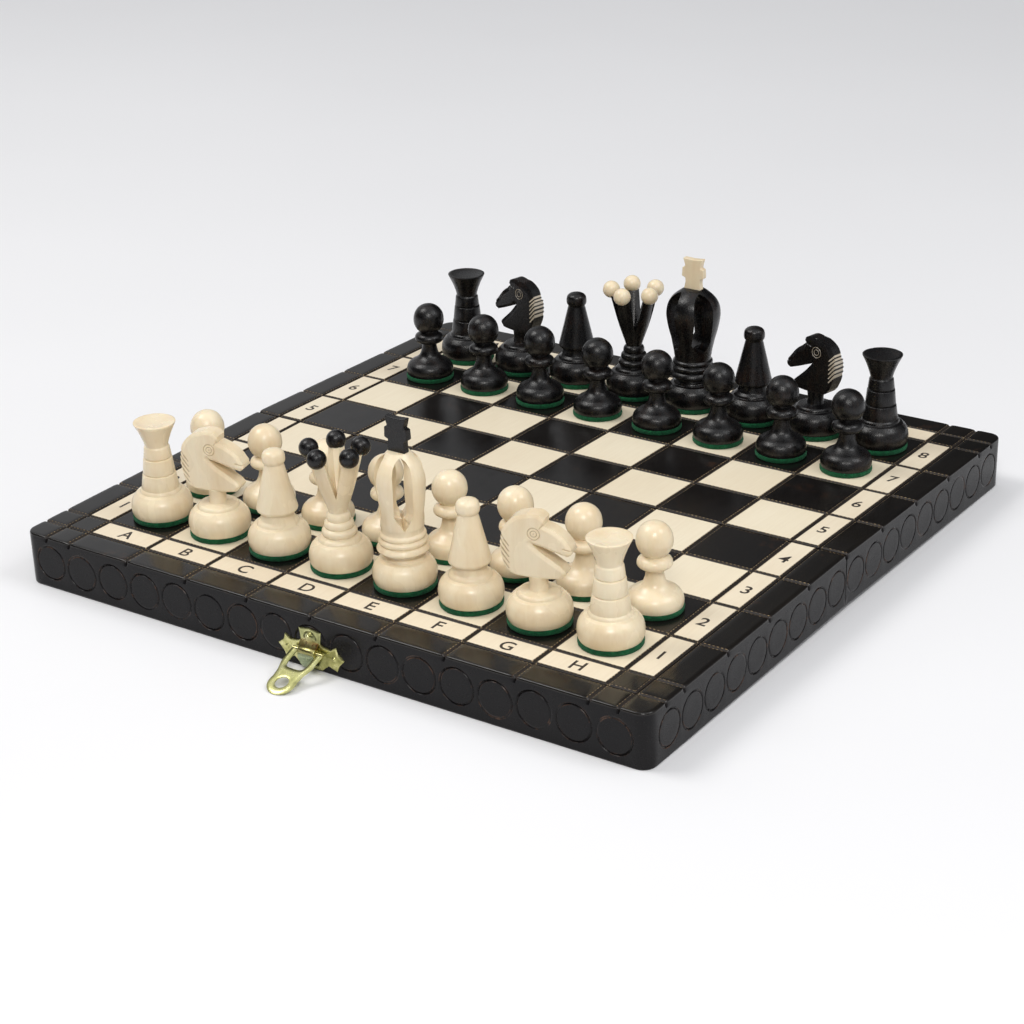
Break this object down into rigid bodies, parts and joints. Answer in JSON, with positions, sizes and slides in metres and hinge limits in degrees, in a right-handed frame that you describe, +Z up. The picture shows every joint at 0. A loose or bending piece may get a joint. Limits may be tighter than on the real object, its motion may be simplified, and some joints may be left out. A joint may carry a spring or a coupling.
{
  "type": "folding chess set",
  "caption": "Folding wooden chess set, open with its men at the start position: two hinged box halves carry the inlaid board, and a brass hasp closes them.",
  "frame": {"origin": "on the table, under the middle of the board, below the seam between the two halves", "axes": "+X from the a-file to the h-file, +Y from White's side to Black's side, +Z up"},
  "size_m": [0.35, 0.3834, 0.1095],
  "materials": {
    "black_wood": "black stain under semi-gloss lacquer",
    "natural_wood": "clear satin lacquer on pale maple",
    "two_tone_board": "pale and black-stained squares between burnt lines",
    "green_felt": "glued felt",
    "brass": "stamped brass-plated steel, slightly tarnished"
  },
  "bodies": {
    "white_half": {"clasp_nails": "brass", "clasp_plate": "brass", "hinge_pins": "brass", "white_felt_lining": "green_felt", "white_hinge_leaves": "brass", "white_hinge_nails": "brass", "white_left_rail": "black_wood", "white_outer_rail": "black_wood", "white_playing_panel": "two_tone_board", "white_right_rail": "black_wood", "white_seam_wall": "black_wood"},
    "black_half": {"black_felt_lining": "green_felt", "black_hinge_leaves": "brass", "black_hinge_nails": "brass", "black_left_rail": "black_wood", "black_outer_rail": "black_wood", "black_playing_panel": "two_tone_board", "black_right_rail": "black_wood", "black_seam_wall": "black_wood", "keeper_nails": "brass", "keeper_plate": "brass"},
    "hasp": {"clasp_hasp": "brass"},
    "white_rook_a": {"white_rook_a": "natural_wood"},
    "white_knight_b": {"white_knight_b": "natural_wood"},
    "white_bishop_c": {"white_bishop_c": "natural_wood"},
    "white_queen": {"white_queen": "natural_wood", "white_queen_balls": "black_wood"},
    "white_king": {"white_king": "natural_wood", "white_king_finial": "black_wood"},
    "white_bishop_f": {"white_bishop_f": "natural_wood"},
    "white_knight_g": {"white_knight_g": "natural_wood"},
    "white_rook_h": {"white_rook_h": "natural_wood"},
    "white_pawn_a": {"white_pawn_a": "natural_wood"},
    "white_pawn_b": {"white_pawn_b": "natural_wood"},
    "white_pawn_c": {"white_pawn_c": "natural_wood"},
    "white_pawn_d": {"white_pawn_d": "natural_wood"},
    "white_pawn_e": {"white_pawn_e": "natural_wood"},
    "white_pawn_f": {"white_pawn_f": "natural_wood"},
    "white_pawn_g": {"white_pawn_g": "natural_wood"},
    "white_pawn_h": {"white_pawn_h": "natural_wood"},
    "black_rook_a": {"black_rook_a": "black_wood"},
    "black_knight_b": {"black_knight_b": "black_wood"},
    "black_bishop_c": {"black_bishop_c": "black_wood"},
    "black_queen": {"black_queen": "black_wood", "black_queen_balls": "natural_wood"},
    "black_king": {"black_king": "black_wood", "black_king_finial": "natural_wood"},
    "black_bishop_f": {"black_bishop_f": "black_wood"},
    "black_knight_g": {"black_knight_g": "black_wood"},
    "black_rook_h": {"black_rook_h": "black_wood"},
    "black_pawn_a": {"black_pawn_a": "black_wood"},
    "black_pawn_b": {"black_pawn_b": "black_wood"},
    "black_pawn_c": {"black_pawn_c": "black_wood"},
    "black_pawn_d": {"black_pawn_d": "black_wood"},
    "black_pawn_e": {"black_pawn_e": "black_wood"},
    "black_pawn_f": {"black_pawn_f": "black_wood"},
    "black_pawn_g": {"black_pawn_g": "black_wood"},
    "black_pawn_h": {"black_pawn_h": "black_wood"}
  },
  "joints": [
    {"name": "board_fold", "type": "hinge", "parent": "white_half", "child": "black_half", "pos_m": [0, 0, 0.0022], "axis": [-1, 0, 0], "range_deg": [-1.5, 178.4]},
    {"name": "clasp_swing", "type": "hinge", "parent": "white_half", "child": "hasp", "pos_m": [0, -0.17782, 0.01001], "axis": [1, 0, 0], "range_deg": [-100, 70]},
    {"name": "lift_white_rook_a", "type": "slide", "parent": "white_half", "child": "white_rook_a", "axis": [0, -0.0134, 0.9999], "range_m": [0, 0.1]},
    {"name": "lift_white_knight_b", "type": "slide", "parent": "white_half", "child": "white_knight_b", "axis": [0, -0.0134, 0.9999], "range_m": [0, 0.1]},
    {"name": "lift_white_bishop_c", "type": "slide", "parent": "white_half", "child": "white_bishop_c", "axis": [0, -0.0134, 0.9999], "range_m": [0, 0.1]},
    {"name": "lift_white_queen", "type": "slide", "parent": "white_half", "child": "white_queen", "axis": [0, -0.0134, 0.9999], "range_m": [0, 0.1]},
    {"name": "lift_white_king", "type": "slide", "parent": "white_half", "child": "white_king", "axis": [0, -0.0134, 0.9999], "range_m": [0, 0.1]},
    {"name": "lift_white_bishop_f", "type": "slide", "parent": "white_half", "child": "white_bishop_f", "axis": [0, -0.0134, 0.9999], "range_m": [0, 0.1]},
    {"name": "lift_white_knight_g", "type": "slide", "parent": "white_half", "child": "white_knight_g", "axis": [0, -0.0134, 0.9999], "range_m": [0, 0.1]},
    {"name": "lift_white_rook_h", "type": "slide", "parent": "white_half", "child": "white_rook_h", "axis": [0, -0.0134, 0.9999], "range_m": [0, 0.1]},
    {"name": "lift_white_pawn_a", "type": "slide", "parent": "white_half", "child": "white_pawn_a", "axis": [0, -0.0134, 0.9999], "range_m": [0, 0.1]},
    {"name": "lift_white_pawn_b", "type": "slide", "parent": "white_half", "child": "white_pawn_b", "axis": [0, -0.0134, 0.9999], "range_m": [0, 0.1]},
    {"name": "lift_white_pawn_c", "type": "slide", "parent": "white_half", "child": "white_pawn_c", "axis": [0, -0.0134, 0.9999], "range_m": [0, 0.1]},
    {"name": "lift_white_pawn_d", "type": "slide", "parent": "white_half", "child": "white_pawn_d", "axis": [0, -0.0134, 0.9999], "range_m": [0, 0.1]},
    {"name": "lift_white_pawn_e", "type": "slide", "parent": "white_half", "child": "white_pawn_e", "axis": [0, -0.0134, 0.9999], "range_m": [0, 0.1]},
    {"name": "lift_white_pawn_f", "type": "slide", "parent": "white_half", "child": "white_pawn_f", "axis": [0, -0.0134, 0.9999], "range_m": [0, 0.1]},
    {"name": "lift_white_pawn_g", "type": "slide", "parent": "white_half", "child": "white_pawn_g", "axis": [0, -0.0134, 0.9999], "range_m": [0, 0.1]},
    {"name": "lift_white_pawn_h", "type": "slide", "parent": "white_half", "child": "white_pawn_h", "axis": [0, -0.0134, 0.9999], "range_m": [0, 0.1]},
    {"name": "lift_black_rook_a", "type": "slide", "parent": "black_half", "child": "black_rook_a", "axis": [0, 0.0134, 0.9999], "range_m": [0, 0.1]},
    {"name": "lift_black_knight_b", "type": "slide", "parent": "black_half", "child": "black_knight_b", "axis": [0, 0.0134, 0.9999], "range_m": [0, 0.1]},
    {"name": "lift_black_bishop_c", "type": "slide", "parent": "black_half", "child": "black_bishop_c", "axis": [0, 0.0134, 0.9999], "range_m": [0, 0.1]},
    {"name": "lift_black_queen", "type": "slide", "parent": "black_half", "child": "black_queen", "axis": [0, 0.0134, 0.9999], "range_m": [0, 0.1]},
    {"name": "lift_black_king", "type": "slide", "parent": "black_half", "child": "black_king", "axis": [0, 0.0134, 0.9999], "range_m": [0, 0.1]},
    {"name": "lift_black_bishop_f", "type": "slide", "parent": "black_half", "child": "black_bishop_f", "axis": [0, 0.0134, 0.9999], "range_m": [0, 0.1]},
    {"name": "lift_black_knight_g", "type": "slide", "parent": "black_half", "child": "black_knight_g", "axis": [0, 0.0134, 0.9999], "range_m": [0, 0.1]},
    {"name": "lift_black_rook_h", "type": "slide", "parent": "black_half", "child": "black_rook_h", "axis": [0, 0.0134, 0.9999], "range_m": [0, 0.1]},
    {"name": "lift_black_pawn_a", "type": "slide", "parent": "black_half", "child": "black_pawn_a", "axis": [0, 0.0134, 0.9999], "range_m": [0, 0.1]},
    {"name": "lift_black_pawn_b", "type": "slide", "parent": "black_half", "child": "black_pawn_b", "axis": [0, 0.0134, 0.9999], "range_m": [0, 0.1]},
    {"name": "lift_black_pawn_c", "type": "slide", "parent": "black_half", "child": "black_pawn_c", "axis": [0, 0.0134, 0.9999], "range_m": [0, 0.1]},
    {"name": "lift_black_pawn_d", "type": "slide", "parent": "black_half", "child": "black_pawn_d", "axis": [0, 0.0134, 0.9999], "range_m": [0, 0.1]},
    {"name": "lift_black_pawn_e", "type": "slide", "parent": "black_half", "child": "black_pawn_e", "axis": [0, 0.0134, 0.9999], "range_m": [0, 0.1]},
    {"name": "lift_black_pawn_f", "type": "slide", "parent": "black_half", "child": "black_pawn_f", "axis": [0, 0.0134, 0.9999], "range_m": [0, 0.1]},
    {"name": "lift_black_pawn_g", "type": "slide", "parent": "black_half", "child": "black_pawn_g", "axis": [0, 0.0134, 0.9999], "range_m": [0, 0.1]},
    {"name": "lift_black_pawn_h", "type": "slide", "parent": "black_half", "child": "black_pawn_h", "axis": [0, 0.0134, 0.9999], "range_m": [0, 0.1]}
  ]
}
